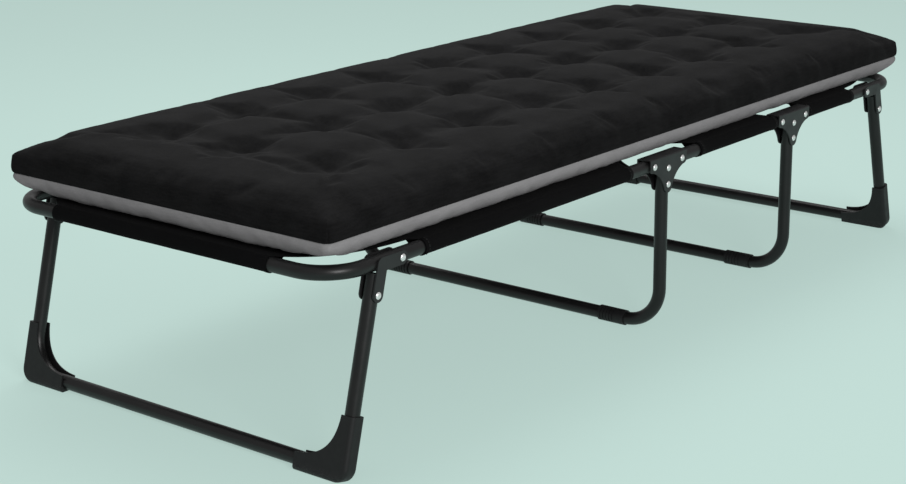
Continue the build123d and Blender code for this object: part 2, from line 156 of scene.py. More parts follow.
def lathe(name, profile, steps):
    """A turned shape from (radius, height) points, closed at both poles."""
    mesh = bpy.data.meshes.new(name)
    turned = bmesh.new()
    points = [turned.verts.new((r, 0, z)) for r, z in profile]
    for a, b in zip(points, points[1:]):
        turned.edges.new((a, b))
    bmesh.ops.spin(turned, geom=turned.verts[:] + turned.edges[:], axis=(0, 0, 1),
                   cent=(0, 0, 0), steps=steps, angle=math.tau, use_duplicate=False)
    bmesh.ops.remove_doubles(turned, verts=turned.verts, dist=0.00002)
    bmesh.ops.recalc_face_normals(turned, faces=turned.faces)
    for face in turned.faces:
        face.smooth = True
    turned.to_mesh(mesh)
    turned.free()
    return bpy.data.objects.new(name, mesh)


def placing_tree():
    """Puts one small shape on every point, its Z along 'facing' and its X along 'lying'."""
    tree = bpy.data.node_groups.new("placed_on_points", "GeometryNodeTree")
    for name, way, kind in (("Geometry", "INPUT", "Geometry"), ("Shape", "INPUT", "Object"),
                            ("Size", "INPUT", "Float"), ("Size spread", "INPUT", "Float"),
                            ("Finish", "INPUT", "Material"), ("Geometry", "OUTPUT", "Geometry")):
        tree.interface.new_socket(name=name, in_out=way, socket_type="NodeSocket" + kind)
    add = tree.nodes.new
    join = tree.links.new
    inside, outside = add("NodeGroupInput"), add("NodeGroupOutput")
    shape = add("GeometryNodeObjectInfo")
    to_points = add("GeometryNodeMeshToPoints")
    place = add("GeometryNodeInstanceOnPoints")
    join(inside.outputs["Shape"], shape.inputs["Object"])
    join(inside.outputs["Geometry"], to_points.inputs["Mesh"])
    join(to_points.outputs["Points"], place.inputs["Points"])
    join(shape.outputs["Geometry"], place.inputs["Instance"])
    turn = None
    for attribute, axis in (("facing", "Z"), ("lying", "X")):
        named = add("GeometryNodeInputNamedAttribute")
        named.data_type = "FLOAT_VECTOR"
        named.inputs["Name"].default_value = attribute
        aim = add("FunctionNodeAlignRotationToVector")
        aim.axis = axis
        aim.pivot_axis = "AUTO" if turn is None else "Z"
        join(named.outputs["Attribute"], aim.inputs["Vector"])
        if turn is not None:
            join(turn, aim.inputs["Rotation"])
        turn = aim.outputs["Rotation"]
    join(turn, place.inputs["Rotation"])
    vary = add("FunctionNodeRandomValue")
    vary.data_type = "FLOAT"
    vary.inputs["Seed"].default_value = 7
    smallest, largest = add("ShaderNodeMath"), add("ShaderNodeMath")
    smallest.operation, largest.operation = "SUBTRACT", "ADD"
    for node in (smallest, largest):
        join(inside.outputs["Size"], node.inputs[0])
        join(inside.outputs["Size spread"], node.inputs[1])
    join(smallest.outputs[0], vary.inputs[2])
    join(largest.outputs[0], vary.inputs[3])
    join(vary.outputs[1], place.inputs["Scale"])
    solid = add("GeometryNodeRealizeInstances")
    paint = add("GeometryNodeSetMaterial")
    join(place.outputs["Instances"], solid.inputs["Geometry"])
    join(solid.outputs["Geometry"], paint.inputs["Geometry"])
    join(inside.outputs["Finish"], paint.inputs["Material"])
    join(paint.outputs["Geometry"], outside.inputs["Geometry"])
    return tree


placing = placing_tree()


def stood(name, data):
    """A mesh, lamp or camera as an object in the scene."""
    piece = bpy.data.objects.new(name, data)
    bpy.context.scene.collection.objects.link(piece)
    return piece


def placed(name, shape, places, finish, size_spread=0.0):
    """One plain mesh with the shape at each (point, facing, lying) place."""
    mesh = bpy.data.meshes.new(name + "_points")
    mesh.from_pydata([point for point, _, _ in places], [], [])
    for attribute, index in (("facing", 1), ("lying", 2)):
        layer = mesh.attributes.new(attribute, "FLOAT_VECTOR", "POINT")
        layer.data.foreach_set("vector", np.array([p[index] for p in places], float).ravel())
    holder = stood(name + "_points", mesh)
    grown = holder.modifiers.new("placed", "NODES")
    grown.node_group = placing
    inputs = {s.name: s.identifier for s in placing.interface.items_tree if s.in_out == "INPUT"}
    grown[inputs["Shape"]] = shape
    grown[inputs["Size"]] = 1.0
    grown[inputs["Size spread"]] = size_spread
    grown[inputs["Finish"]] = finish
    evaluated = holder.evaluated_get(bpy.context.evaluated_depsgraph_get())
    made = stood(name, bpy.data.meshes.new_from_object(evaluated))
    bpy.data.objects.remove(holder)
    return made


def zinc_finish():
    """Passivated zinc: pale, brushed a little and faintly clouded."""
    finish, parts, links, shader = new_finish("rivet_zinc")
    cloud = spread(parts, links, grain(parts, links, scale=300, detail=3), 0, 1)
    shades = two_tone(parts, links, cloud, (0.66, 0.67, 0.66, 1), (0.86, 0.87, 0.86, 1))
    links.new(shades, shader.inputs["Base Color"])
    shader.inputs["Metallic"].default_value = 0.75
    brushing = grain(parts, links, scale=700, detail=2)
    links.new(spread(parts, links, brushing, 0.3, 0.46), shader.inputs["Roughness"])
    crystals = grain(parts, links, scale=1500, detail=1)
    links.new(bump(parts, links, crystals, distance=0.00003, strength=0.5),
              shader.inputs["Normal"])
    return finish


zinc = zinc_finish()


def rivet_row(name, spots, grip):
    """Both heads of each rivet, on both sides of the bed; spots are (x, z)."""
    shank = ((shank_radius, -grip), (0.0, -grip))
    head = lathe(name + "_head", rivet_head + shank, head_sides)
    places = []
    for x, z in spots:
        for y in (-rail_y, rail_y):
            for out in (-1, 1):
                places.append(((x, y + out * grip, z), (0, out, 0), (1, 0, 0)))
    return placed(name, head, places, zinc)


def spot(node, end_x=0, end_z=0):
    """Middle (x, z) of a CAD node, or of its rivet at one end, -1 or 1, in x or in z."""
    low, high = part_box(node)
    middle = []
    for axis, end in ((0, end_x), (2, end_z)):
        at_end = low[axis] + rivet_radius if end < 0 else high[axis] - rivet_radius
        middle.append((low[axis] + high[axis]) / 2 if end == 0 else at_end)
    return tuple(middle)


# A middle leg has two rivets of each kind on a side, an end leg has one
for leg, grip, ends in (("centre", saddle_grip, (-1, 1)), ("quarter", saddle_grip, (-1, 1)),
                        ("front", bracket_grip, (0,)), ("rear", bracket_grip, (0,))):
    pivots, fixings = f"{leg}_pivot_rivets", f"{leg}_leg_rivets"
    spots = [spot(pivots, end_x=end) for end in ends] + [spot(fixings, end_z=end) for end in ends]
    row = rivet_row(f"{leg}_rivets", spots, grip)
    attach(row, f"{leg}_leg")
    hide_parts(pivots, fixings)

# Ribbed sleeves on the floor bars and moulded corner feet. Black polypropylene with a
# spark-eroded grain, slid on to the tube, and scuffed where it meets the floor.
moulded_black = (0.0085, 0.0085, 0.009, 1)
scuffed_grey = (0.04, 0.04, 0.04, 1)
scuff_height = 0.02


def combined(parts, links, operation, first, second):
    """Two values of a finish, added, multiplied or the larger of them."""
    both = parts.new("ShaderNodeMath")
    both.operation = operation
    links.new(first, both.inputs[0])
    links.new(second, both.inputs[1])
    return both.outputs[0]


def moulded_finish():
    """Matt black moulding with a fine grain and pale scuffs near the floor."""
    finish, parts, links, shader = new_finish("moulded_black")
    place = parts.new("ShaderNodeTexCoord")
    height = parts.new("ShaderNodeSeparateXYZ")
    links.new(place.outputs["Object"], height.inputs["Vector"])
    near_floor = spread(parts, links, height.outputs["Z"], 1, 0,
                        from_low=0.0, from_high=scuff_height)
    rubs = grain(parts, links, scale=260, detail=6, stretch=(1, 1, 3))
    scuffs = spread(parts, links, rubs, 0, 1, from_low=0.5, from_high=0.62)
    worn = combined(parts, links, "MULTIPLY", near_floor, scuffs)
    shades = two_tone(parts, links, worn, moulded_black, scuffed_grey)
    links.new(shades, shader.inputs["Base Color"])
    patches = grain(parts, links, scale=90, detail=3)
    links.new(spread(parts, links, patches, 0.48, 0.6), shader.inputs["Roughness"])
    shader.inputs["Specular IOR Level"].default_value = 0.3
    erosion = grain(parts, links, scale=1600, detail=2)
    links.new(bump(parts, links, erosion, distance=0.00008, strength=0.7),
              shader.inputs["Normal"])
    return finish


moulded = moulded_finish()
dress(moulded, *[f"{leg}_foot_sleeve_{side}" for leg in ("centre", "quarter") for side in sides])
dress(moulded, *[f"{leg}_corner_foot_{side}" for leg in ("front", "rear") for side in sides])

# Cloth panels. Black woven polyester, hemmed, with a sleeve sewn round each rail and
# round the end bars, and drawn tight when the bed is open. Each is one sheet of cloth.
rail_height = 0.341
front_end_x, rear_end_x = -0.9405, 0.9345
centre_x, quarter_x = -0.0155, 0.4595
cloth_radius = 0.0134
cloth_thickness = 0.0009
wrap_end = -131.5  # degrees, where the cloth leaves the tube; it starts on top, at 90
sleeve_flap = 0.034  # from the tube's axis in to the seam
seam_drop = 0.0013  # from the top of the cloth down to the flap under it
end_sleeve_half = 0.256
hem_width = 0.012
hem_thickness = 0.0006
panel_sag, sag_reach = 0.0045, 0.09
ripple_pitch, ripple_depth = 0.06, 0.0008
bulge_pitch, bulge_depth = 0.05, 0.0007
bulges_round = 9  # how much closer bulges follow each other round a tube than along it
cloth_pitch = 0.012
nip = 0.0008  # between the two lines of the net where a sleeve or a hem ends
stitch_pitch = 0.0062
stitch_radius, stitch_half = 0.00042, 0.0021
thread_lift = 0.0012  # from the cloth's middle out to a thread that lies on it


def woven_finish(name, dark, light, threads, sheen, mottle):
    """Plain weave: crossing threads, slubs and a soft, slightly clouded colour."""
    finish, parts, links, shader = new_finish(name)
    place = parts.new("ShaderNodeTexCoord")
    weave = None
    for axis in ("X", "Y"):
        thread = parts.new("ShaderNodeTexWave")
        thread.bands_direction = axis
        thread.inputs["Scale"].default_value = threads
        thread.inputs["Distortion"].default_value = 0.6
        thread.inputs["Detail"].default_value = 1
        thread.inputs["Detail Scale"].default_value = 0.4
        links.new(place.outputs["Object"], thread.inputs["Vector"])
        crossed = thread.outputs["Fac"]
        weave = crossed if weave is None else combined(parts, links, "MULTIPLY", weave, crossed)
    cloud = grain(parts, links, scale=mottle, detail=6)
    slubs = grain(parts, links, scale=330, detail=3, stretch=(1, 0.12, 1))
    cross_slubs = grain(parts, links, scale=330, detail=3, stretch=(0.12, 1, 1))
    flecks = combined(parts, links, "ADD", spread(parts, links, slubs, 0, 0.3),
                      spread(parts, links, cross_slubs, 0, 0.3))
    mixed = combined(parts, links, "ADD", spread(parts, links, cloud, 0, 0.4), flecks)
    links.new(two_tone(parts, links, mixed, dark, light), shader.inputs["Base Color"])
    shader.inputs["Roughness"].default_value = 0.9
    shader.inputs["Specular IOR Level"].default_value = 0.05
    shader.inputs["Sheen Weight"].default_value = sheen
    shader.inputs["Sheen Roughness"].default_value = 0.45
    threads_up = bump(parts, links, weave, distance=0.0001, strength=0.35)
    slubs_up = bump(parts, links, slubs, distance=0.00025, strength=0.3, under=threads_up)
    links.new(slubs_up, shader.inputs["Normal"])
    return finish


sling_cloth = woven_finish("sling_cloth", (0.0028, 0.0028, 0.003, 1), (0.0048, 0.0048, 0.0051, 1),
                           threads=900, sheen=0.01, mottle=12)
stitch_thread, _, _, thread_shader = new_finish("stitch_thread")
thread_shader.inputs["Base Color"].default_value = (0.006, 0.006, 0.0063, 1)
thread_shader.inputs["Roughness"].default_value = 0.55


def lying_thread(name, outline, steps):
    """A short thread along X, from the (radius, height) outline of its upper half."""
    lower = tuple((r, -z) for r, z in reversed(outline) if z > 0)
    thread = lathe(name, outline + lower, steps)
    thread.data.transform(Matrix.Rotation(math.radians(90), 4, "Y"))
    return thread


stitch = lying_thread("stitch", ((0.0, stitch_half), (0.0003, 0.0019), (stitch_radius, 0.0010)), 6)


def ripple(x, y, z, size, depth):
    """A small smooth unevenness at a place."""
    return depth * noise.noise(Vector((x / size, y / size, z / size)))


def sleeve_section():
    """Cloth round a rail from its top, out and under it, and back up to the seam."""
    angles = np.radians(np.linspace(90, wrap_end, 19))
    round_part = [(cloth_radius * math.cos(a), cloth_radius * math.sin(a)) for a in angles]
    last = round_part[-1]
    seam = (-sleeve_flap, cloth_radius - seam_drop)
    flap = [(last[0] + (seam[0] - last[0]) * t, last[1] + (seam[1] - last[1]) * t)
            for t in (0.35, 0.7, 1)]
    return round_part + flap


def looseness(from_edge, x, y, z):
    """How much wider than its section a sleeve stands, with its turned hem and slight bulges."""
    swell = hem_thickness if from_edge < hem_width else 0.0
    return 1 + (swell + max(0, ripple(x, y, z, bulge_pitch, bulge_depth))) / cloth_radius


def sew_sleeve(verts, faces, top_line, around, flip):
    """Wrap the cloth round a tube from its top line; the points of the seam come back."""
    seam, before = [], None
    for start in top_line:
        x, y, _ = verts[start]
        strip = [start]
        for out, up in sleeve_section()[1:]:
            strip.append(len(verts))
            verts.append(around(x, y, out, up))
        seam.append(verts[strip[-1]])
        if before:
            for k in range(len(strip) - 1):
                quad = (before[k], strip[k], strip[k + 1], before[k + 1])
                faces.append(quad[::-1] if flip else quad)
        before = strip
    return seam


def seam_stitches(seam):
    """Places of the stitches along a seam, below the flap and on top of the cloth."""
    below, above = 0.0006, 0.0026
    up, down = (0, 0, 1), (0, 0, -1)
    places = []
    steps = [Vector(p) for p in seam]
    along = 0.0
    for a, b in zip(steps, steps[1:]):
        gap = (b - a).length
        lying = tuple((b - a).normalized())
        while along < gap:
            x, y, z = a + (b - a) * (along / gap)
            places += [((x, y, z - below), down, lying), ((x, y, z + above), up, lying)]
            along += stitch_pitch
        along -= gap
    return places


def hem_stitches(sleeve):
    """Places of the stitches round the rail at both ends of its sleeve."""
    inward = hem_width * 0.7
    r = cloth_radius + thread_lift
    places = []
    for x in (sleeve[0] + inward, sleeve[1] - inward):
        for side in (-1, 1):
            for turn in np.radians(np.arange(84, -120, -24)):
                out, up = math.cos(turn), math.sin(turn)
                place = (x, side * (rail_y + out * r), rail_height + up * r)
                places.append((place, (0, side * out, up), (0, -side * up, out)))
    return places


def face_up(mesh):
    """Smooth a sheet of cloth and turn its faces up; its area comes back."""
    cloth = bmesh.new()
    cloth.from_mesh(mesh)
    bmesh.ops.recalc_face_normals(cloth, faces=cloth.faces)
    for face in cloth.faces:
        face.smooth = True
    area = sum(face.calc_area() for face in cloth.faces)
    top = max(cloth.faces, key=lambda f: f.calc_center_median().z)
    if top.normal.z < 0:
        bmesh.ops.reverse_faces(cloth, faces=cloth.faces)
    cloth.to_mesh(mesh)
    cloth.free()
    return area


def panel(name, body, columns, half_at, sleeve, end_x):
    """A cloth panel over columns of x, its half width given by half_at, with its sleeves."""
    row_reach = math.pi / 2 * 0.92  # rows draw together towards the rails
    rows = np.sin(np.linspace(-1, 1, 41) * row_reach) / math.sin(row_reach)
    count = len(rows)
    verts, faces = [], []
    for x in columns:
        half = half_at(x)
        for s in rows:
            y = s * half
            from_end = min(1, abs(x - end_x) / sag_reach if end_x else 1)
            slack = panel_sag * (1 - (y / rail_y) ** 2) * from_end
            z = rail_height + cloth_radius - slack - 0.0004
            verts.append((x, y, z + ripple(x, y, 0, ripple_pitch, ripple_depth) * (1 - s * s)))
    for i in range(len(columns) - 1):
        for j in range(count - 1):
            a = i * count + j
            faces.append((a, a + count, a + count + 1, a + 1))

    def round_rail(x, y, out, up):
        from_edge = min(x - sleeve[0], sleeve[1] - x)
        grow = looseness(from_edge, x, out * bulges_round, up * bulges_round)
        return x, math.copysign(rail_y + out * grow, y), rail_height + up * grow

    in_sleeve = [i for i, x in enumerate(columns) if sleeve[0] <= x <= sleeve[1]]
    seams = [sew_sleeve(verts, faces, [i * count + j for i in in_sleeve], round_rail, flip)
             for j, flip in ((0, True), (count - 1, False))]
    if end_x is not None:
        out_way = math.copysign(1, end_x)
        first = 0 if end_x < 0 else (len(columns) - 1) * count

        def round_end(x, y, out, up):
            from_edge = end_sleeve_half - abs(y)
            grow = looseness(from_edge, out * bulges_round, y, up * bulges_round)
            return end_x + out_way * out * grow, y, rail_height + up * grow

        end_line = range(first, first + count)
        seams.append(sew_sleeve(verts, faces, end_line, round_end, flip=out_way > 0))

    mesh = bpy.data.meshes.new(name + "_cloth")
    mesh.from_pydata(verts, [], faces)
    cloth_area = face_up(mesh)
    mesh.materials.append(sling_cloth)
    piece = stood(name + "_cloth", mesh)
    thick = piece.modifiers.new("thickness", "SOLIDIFY")
    thick.thickness = cloth_thickness
    thick.offset = 0
    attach(piece, body)
    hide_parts(name)

    places = [place for seam in seams for place in seam_stitches(seam)] + hem_stitches(sleeve)
    sewing = placed(name + "_stitches", stitch, places, stitch_thread, size_spread=0.12)
    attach(sewing, body)


def smooth_columns(stops):
    """Even steps between stops, each stop kept."""
    out = [stops[0]]
    for a, b in zip(stops, stops[1:]):
        count = max(1, int(round((b - a) / cloth_pitch)))
        out += [a + (b - a) * n / count for n in range(1, count + 1)]
    return out


def corner_half(from_end):
    """Half width of the cloth where its corner is cut away round the bent tube."""
    curve_x = (0, 0.0125, 0.026, 0.05, 0.08, 0.12, 0.16, 0.205, 0.213)
    curve_y = (end_sleeve_half, 0.275, 0.2935, 0.318, 0.3365, 0.3515, 0.3605, 0.365, 0.378)
    return float(np.interp(from_end, curve_x, curve_y))


def notch_half(beyond):
    """Half width beside a hinge, where the cloth clears the saddle."""
    slant_x = (0, 0.018, 0.026, 0.035, 0.045)
    slant_y = (0.378, 0.3505, 0.3412, 0.3355, rail_y - 0.048)
    return float(np.interp(beyond, slant_x, slant_y))


corner_length = 0.213
# From a hinge to the sleeves beside it, and from the centre hinge to the edge of the cloth
centre_room, quarter_room, centre_edge = 0.117, 0.064, 0.055
front_sleeve = (front_end_x + corner_length, centre_x - centre_room)
middle_sleeve = (centre_x + centre_room, quarter_x - quarter_room)
rear_sleeve = (quarter_x + quarter_room, rear_end_x - corner_length)


def front_half(x):
    """Half width of the front panel, with its bent corners and the notches at its hinge."""
    if x < front_sleeve[0] - nip / 2:
        return corner_half(x - front_end_x)
    return rail_y if x <= front_sleeve[1] + nip / 2 else notch_half(x - front_sleeve[1])


def middle_half(x):
    """Half width of the middle panel, with notches at the centre hinge."""
    return rail_y if x >= middle_sleeve[0] - nip / 2 else notch_half(middle_sleeve[0] - x)


def rear_half(x):
    """Half width of the rear panel, with its bent corners."""
    return rail_y if x <= rear_sleeve[1] + nip / 2 else corner_half(rear_end_x - x)


def hem_stops(sleeve):
    """Lines of the net at both ends of a sleeve and at the inner edges of its hems."""
    start, end = sleeve
    return [start, start + hem_width, start + hem_width + nip,
            end - hem_width - nip, end - hem_width, end]


front_stops = [front_end_x, front_sleeve[0] - nip, *hem_stops(front_sleeve),
               front_sleeve[1] + nip, centre_x - centre_edge]
middle_stops = [centre_x + centre_edge, middle_sleeve[0] - nip, *hem_stops(middle_sleeve)]
rear_stops = [*hem_stops(rear_sleeve), rear_sleeve[1] + nip, rear_end_x]
panel("front_panel", "front_frame", smooth_columns(front_stops), front_half, front_sleeve,
      front_end_x)
panel("middle_panel", "middle_frame", smooth_columns(middle_stops), middle_half, middle_sleeve,
      None)
panel("rear_panel", "rear_frame", smooth_columns(rear_stops), rear_half, rear_sleeve,
      rear_end_x)

# Mattress cover. A black cloth box sewn to a grey underside all round, stuffed with
# wadding and pulled down at twenty-seven tufts, so the cloth puffs up between them
# and gathers in small folds round each one. It is inflated here as real cloth.
top_low, top_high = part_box("mattress_top")
base_low, base_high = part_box("mattress_base")
mattress_low = [min(a, b) for a, b in zip(top_low, base_low)]
mattress_high = [max(a, b) for a, b in zip(top_high, base_high)]
mattress_middle = (mattress_low[0] + mattress_high[0]) / 2
half_length = (mattress_high[0] - mattress_low[0]) / 2
half_width = (mattress_high[1] - mattress_low[1]) / 2
seam_height = top_low[2]
middle_tuft_x, tuft_pitch = 0.0235, 0.189
tuft_columns = [middle_tuft_x + tuft_pitch * (n - 4) for n in range(9)]
tuft_rows = [-0.193, -0.004, 0.184]
tuft_height = 0.4405
tuft_slope = 0.42
held_radius = 0.0045
# How far in from the edge the cloth lies at each height, before it is inflated
edge_rise = ((0.0, 0.4215), (0.0025, 0.4285), (0.007, 0.4335), (0.013, 0.4370), (0.021, 0.4395),
             (0.030, 0.4410))
crown_rise = ((0.06, 0.4435), (0.12, 0.4475), (0.24, 0.4515))
side_fall = ((-0.0004, 0.4085), (0.0008, 0.3985), (0.0028, seam_height), (0.0010, 0.388),
             (0.0021, 0.381), (0.0064, 0.3737), (0.0129, 0.3665), (0.021, 0.361),
             (0.030, 0.3573), (0.040, 0.3555))
seam_row = 2
under_inset, under_height = side_fall[-1]
seam_corner_radius = 0.011
corner_growth = 1.4
net_pitch = 0.0088
lines_drawn = 8
# The darker and the lighter shade of each cloth
cover_black = (0.0016, 0.0016, 0.0017, 1), (0.0122, 0.0122, 0.0126, 1)
underside_grey = (0.205, 0.205, 0.207, 1), (0.27, 0.27, 0.273, 1)


def edge_steps(half):
    """Distances across the mattress, closer together near both edges."""
    ends = [half - inset for inset, _ in edge_rise]
    count = int(round(2 * ends[-1] / net_pitch))
    inner = [-ends[-1] + 2 * ends[-1] * n / count for n in range(1, count)]
    return [-e for e in ends] + inner + ends[::-1]


def draw_to_tufts(steps, tufts):
    """Draw the nearest lines of the net to each tuft, so that it sits on a vertex."""
    for tuft in tufts:
        near = min(range(len(steps)), key=lambda n: abs(steps[n] - tuft))
        shift = tuft - steps[near]
        for n in range(near - lines_drawn, near + lines_drawn + 1):
            steps[n] += shift * (1 - abs(n - near) / (lines_drawn + 1))


def round_corner(x, y, inset):
    """A point of the square-cornered pad, moved in and on to a corner that is rounder inwards."""
    radius = seam_corner_radius + corner_growth * max(inset, 0)
    scale_x = (half_length - inset) / half_length
    scale_y = (half_width - inset) / half_width
    p = (abs(x) - half_length + radius) / radius
    q = (abs(y) - half_width + radius) / radius
    if p > 0 and q > 0:
        ax = half_length - radius + radius * p * math.sqrt(1 - q * q / 2)
        ay = half_width - radius + radius * q * math.sqrt(1 - p * p / 2)
    else:
        ax, ay = abs(x), abs(y)
    return math.copysign(ax * scale_x, x), math.copysign(ay * scale_y, y)


def crown(x, y):
    """Height of the slack cloth before it is inflated, with a dip at each tuft."""
    inset = max(min(half_length - abs(x), half_width - abs(y)), 0)
    insets, heights = zip(*edge_rise, *crown_rise)
    z = float(np.interp(inset, insets, heights))
    gap = min(math.hypot(x + mattress_middle - tx, y - ty)
              for tx in tuft_columns for ty in tuft_rows)
    return min(z, tuft_height + tuft_slope * gap)


steps_x, steps_y = edge_steps(half_length), edge_steps(half_width)
draw_to_tufts(steps_x, [t - mattress_middle for t in tuft_columns])
draw_to_tufts(steps_y, tuft_rows)
nx, ny = len(steps_x), len(steps_y)
top_count = nx * ny
# The edge of the net, once round: right side, rear end, left side and front end
ring = [(i, 0) for i in range(nx)] + [(nx - 1, j) for j in range(1, ny)]
ring += [(i, ny - 1) for i in range(nx - 2, -1, -1)] + [(0, j) for j in range(ny - 2, 0, -1)]
ring_count = len(ring)


def cover_net():
    """Points and faces of the sewn cover, and the first point of each ring down its side."""
    verts, faces, row_starts = [], [], []
    for x in steps_x:
        for y in steps_y:
            px, py = round_corner(x, y, 0)
            verts.append((px + mattress_middle, py, crown(px, py)))
    for i in range(nx - 1):
        for j in range(ny - 1):
            a = i * ny + j
            faces.append((a, a + ny, a + ny + 1, a + 1))
    upper = [i * ny + j for i, j in ring]
    for inset, height in side_fall:
        row_starts.append(len(verts))
        for i, j in ring:
            px, py = round_corner(steps_x[i], steps_y[j], inset)
            verts.append((px + mattress_middle, py, height))
        lower = [row_starts[-1] + n for n in range(ring_count)]
        for n in range(ring_count):
            m = (n + 1) % ring_count
            faces.append((upper[n], lower[n], lower[m], upper[m]))
        upper = lower
    # Underside: the same net, laid flat inside the last ring
    under = dict(zip(ring, upper))
    for i in range(1, nx - 1):
        for j in range(1, ny - 1):
            px, py = round_corner(steps_x[i], steps_y[j], under_inset)
            under[(i, j)] = len(verts)
            verts.append((px + mattress_middle, py, under_height))
    for i in range(nx - 1):
        for j in range(ny - 1):
            faces.append((under[(i, j)], under[(i, j + 1)],
                          under[(i + 1, j + 1)], under[(i + 1, j)]))
    return verts, faces, row_starts


verts, faces, row_starts = cover_net()
seam_first = row_starts[seam_row]
sewn = bpy.data.meshes.new("sewn_cover")
sewn.from_pydata(verts, [], faces)
sewn.validate()
cover = stood("sewn_cover", sewn)
slack = np.array([v.co[:] for v in sewn.vertices])
top_x, top_y = slack[:top_count, 0], slack[:top_count, 1]

# The seam, the underside and the tufts are held while the rest is blown up
held = cover.vertex_groups.new(name="held")
held.add(list(range(seam_first, seam_first + ring_count)), 1.0, "REPLACE")
held.add(list(range(row_starts[-1], len(verts))), 1.0, "REPLACE")
for tx in tuft_columns:
    for ty in tuft_rows:
        gaps = np.hypot(top_x - tx, top_y - ty)
        held.add([int(n) for n in np.nonzero(gaps < held_radius)[0]], 1.0, "REPLACE")


def inflate(piece, frames):
    """Blow the sewn cover up a little, its seams and tufts held where they are."""
    cloth = piece.modifiers.new("inflate", "CLOTH")
    cloth.settings.quality = 5
    cloth.settings.mass = 0.35
    cloth.settings.tension_stiffness = 30
    cloth.settings.compression_stiffness = 30
    cloth.settings.shear_stiffness = 12
    cloth.settings.bending_stiffness = 0.12
    cloth.settings.air_damping = 3
    cloth.settings.shrink_min = -0.03
    cloth.settings.vertex_group_mass = "held"
    cloth.settings.use_pressure = True
    cloth.settings.uniform_pressure_force = 1.6
    cloth.settings.effector_weights.gravity = 0
    cloth.collision_settings.use_collision = False
    cloth.point_cache.frame_end = frames
    for number in range(1, frames + 1):
        bpy.context.scene.frame_set(number)
    evaluated = piece.evaluated_get(bpy.context.evaluated_depsgraph_get())
    blown = bpy.data.meshes.new_from_object(evaluated)
    piece.modifiers.remove(cloth)
    bpy.context.scene.frame_set(1)
    return np.array([v.co[:] for v in blown.vertices])


inflated = inflate(cover, frames=22)
bpy.data.objects.remove(cover)

# No point moves past the cap, and the edges give less than the middle
swell_cap = 0.012
edge_give, edge_band = 0.4, 0.09
moved = inflated - slack
length = np.linalg.norm(moved, axis=1, keepdims=True)
from_edge = np.minimum(half_length - np.abs(slack[:, 0] - mattress_middle),
                       half_width - np.abs(slack[:, 1]))
give = np.clip(edge_give + from_edge / edge_band, edge_give, 1)[:, None]
shaped = slack + moved * give * np.minimum(1, swell_cap / np.maximum(length, 1e-9))
shaped[:, 2] = np.maximum(shaped[:, 2], under_height)

# Between two tufts the cloth is drawn down as well, into a soft valley
valley_half, valley_depth, valley_fade = 0.03, 0.0055, 0.1
valleys = np.zeros(top_count)
for here, lines, there, ends in ((top_x, tuft_columns, top_y, tuft_rows),
                                 (top_y, tuft_rows, top_x, tuft_columns)):
    off_line = np.abs(here[:, None] - lines).min(axis=1)
    beyond = np.maximum(0, np.maximum(ends[0] - there, there - ends[-1]))
    drawn = np.exp(-(off_line / valley_half) ** 2) * np.clip(1 - beyond / valley_fade, 0, 1)
    valleys = np.maximum(valleys, drawn)
shaped[:top_count, 2] -= valley_depth * valleys

# The underside is cut a little long, so it gathers in slanting creases below the seam
crease_depths = (0.0006, 0.0014, 0.0019, 0.0019, 0.0013, 0.0006)
crease_pitch, crease_run, crease_slant, crease_sharpness = 0.021, 0.05, 0.9, 2.4
crease_draw = 3.7  # which of the noise's patterns they follow
for row, depth in zip(range(seam_row + 1, len(side_fall) - 1), crease_depths):
    for n in range(row_starts[row], row_starts[row] + ring_count):
        x, y, z = shaped[n]
        run = x - y + crease_slant * (z - seam_height)
        place = Vector((run / crease_pitch, z / crease_run, crease_draw))
        crease = 1 - abs(noise.noise(place)) * crease_sharpness
        if half_width - abs(y) < half_length - abs(x - mattress_middle):
            inward = Vector((0, -math.copysign(1, y), 0))
        else:
            inward = Vector((-math.copysign(1, x - mattress_middle), 0, 0))
        shaped[n] += np.array(inward) * depth * max(0, crease)

# The mitred seam up each corner of the black cover is drawn in like a groove
corner_groove = 0.0036
for i, j in ((0, 0), (0, ny - 1), (nx - 1, 0), (nx - 1, ny - 1)):
    for n in [i * ny + j] + [start + ring.index((i, j)) for start in row_starts[:seam_row]]:
        inward = Vector((mattress_middle - shaped[n][0], -shaped[n][1], 0)).normalized()
        shaped[n] += np.array(inward) * corner_groove


def seam_cap():
    """Faces straight across the mattress from seam to seam, seen from above."""
    back = [seam_first + 2 * nx + ny - 3 - i for i in range(nx)]
    cap_faces = [(seam_first + i, seam_first + i + 1, back[i + 1], back[i])
                 for i in range(1, nx - 2)]
    left = [seam_first, seam_first + 1, back[1]]
    left += [back[0] + n for n in range(ny - 1)]
    right = [back[-2]] + [seam_first + nx - 2] + [seam_first + nx - 1 + n for n in range(ny)]
    return cap_faces + [tuple(left), tuple(right)]


def cover_part(name, keep, finish, node):
    """The black or the grey half of the cover, closed inside along the seam."""
    used = sorted({v for face in keep for v in face})
    place = {v: n for n, v in enumerate(used)}
    mesh = bpy.data.meshes.new(name)
    mesh.from_pydata([tuple(shaped[v]) for v in used], [],
                     [tuple(place[v] for v in face) for face in keep])
    shell = bmesh.new()
    shell.from_mesh(mesh)
    for face in shell.faces:
        face.smooth = True
    crease = shell.edges.layers.float.new("crease_edge")
    seam_ring = {place[seam_first + n] for n in range(ring_count)}
    for edge in shell.edges:
        if seam_ring.issuperset(v.index for v in edge.verts):
            edge[crease] = 1.0
    shell.to_mesh(mesh)
    shell.free()
    mesh.materials.append(finish)
    piece = stood(name, mesh)
    finer = piece.modifiers.new("finer", "SUBSURF")
    finer.levels = finer.render_levels = 1
    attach(piece, "mattress")
    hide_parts(node)


